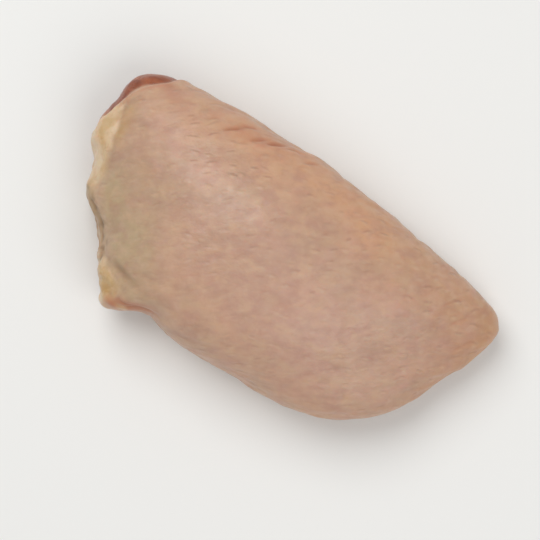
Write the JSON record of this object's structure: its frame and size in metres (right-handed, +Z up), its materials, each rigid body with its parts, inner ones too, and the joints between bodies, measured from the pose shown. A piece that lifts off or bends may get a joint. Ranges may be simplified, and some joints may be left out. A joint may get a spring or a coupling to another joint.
{
  "type": "raw chicken thigh",
  "caption": "Raw bone-in chicken thigh with its skin on, lying skin side up on its flattened cut side, with a lumpy roll of fat along the hip cut.",
  "frame": {"origin": "bottom centre of the thigh's box, on the surface that it lies on", "axes": "+X along the thigh to the knee end, +Y across it to the long edge that ends in the hip corner, +Z up, out of the skin side"},
  "size_m": [0.12, 0.0624, 0.036],
  "materials": {
    "skin": "moist, soft raw poultry skin, pale pink to cream, with cream fat along the hip cut and pinkish-red meat underneath"
  },
  "bodies": {
    "root": {"thigh": "skin"}
  },
  "joints": []
}
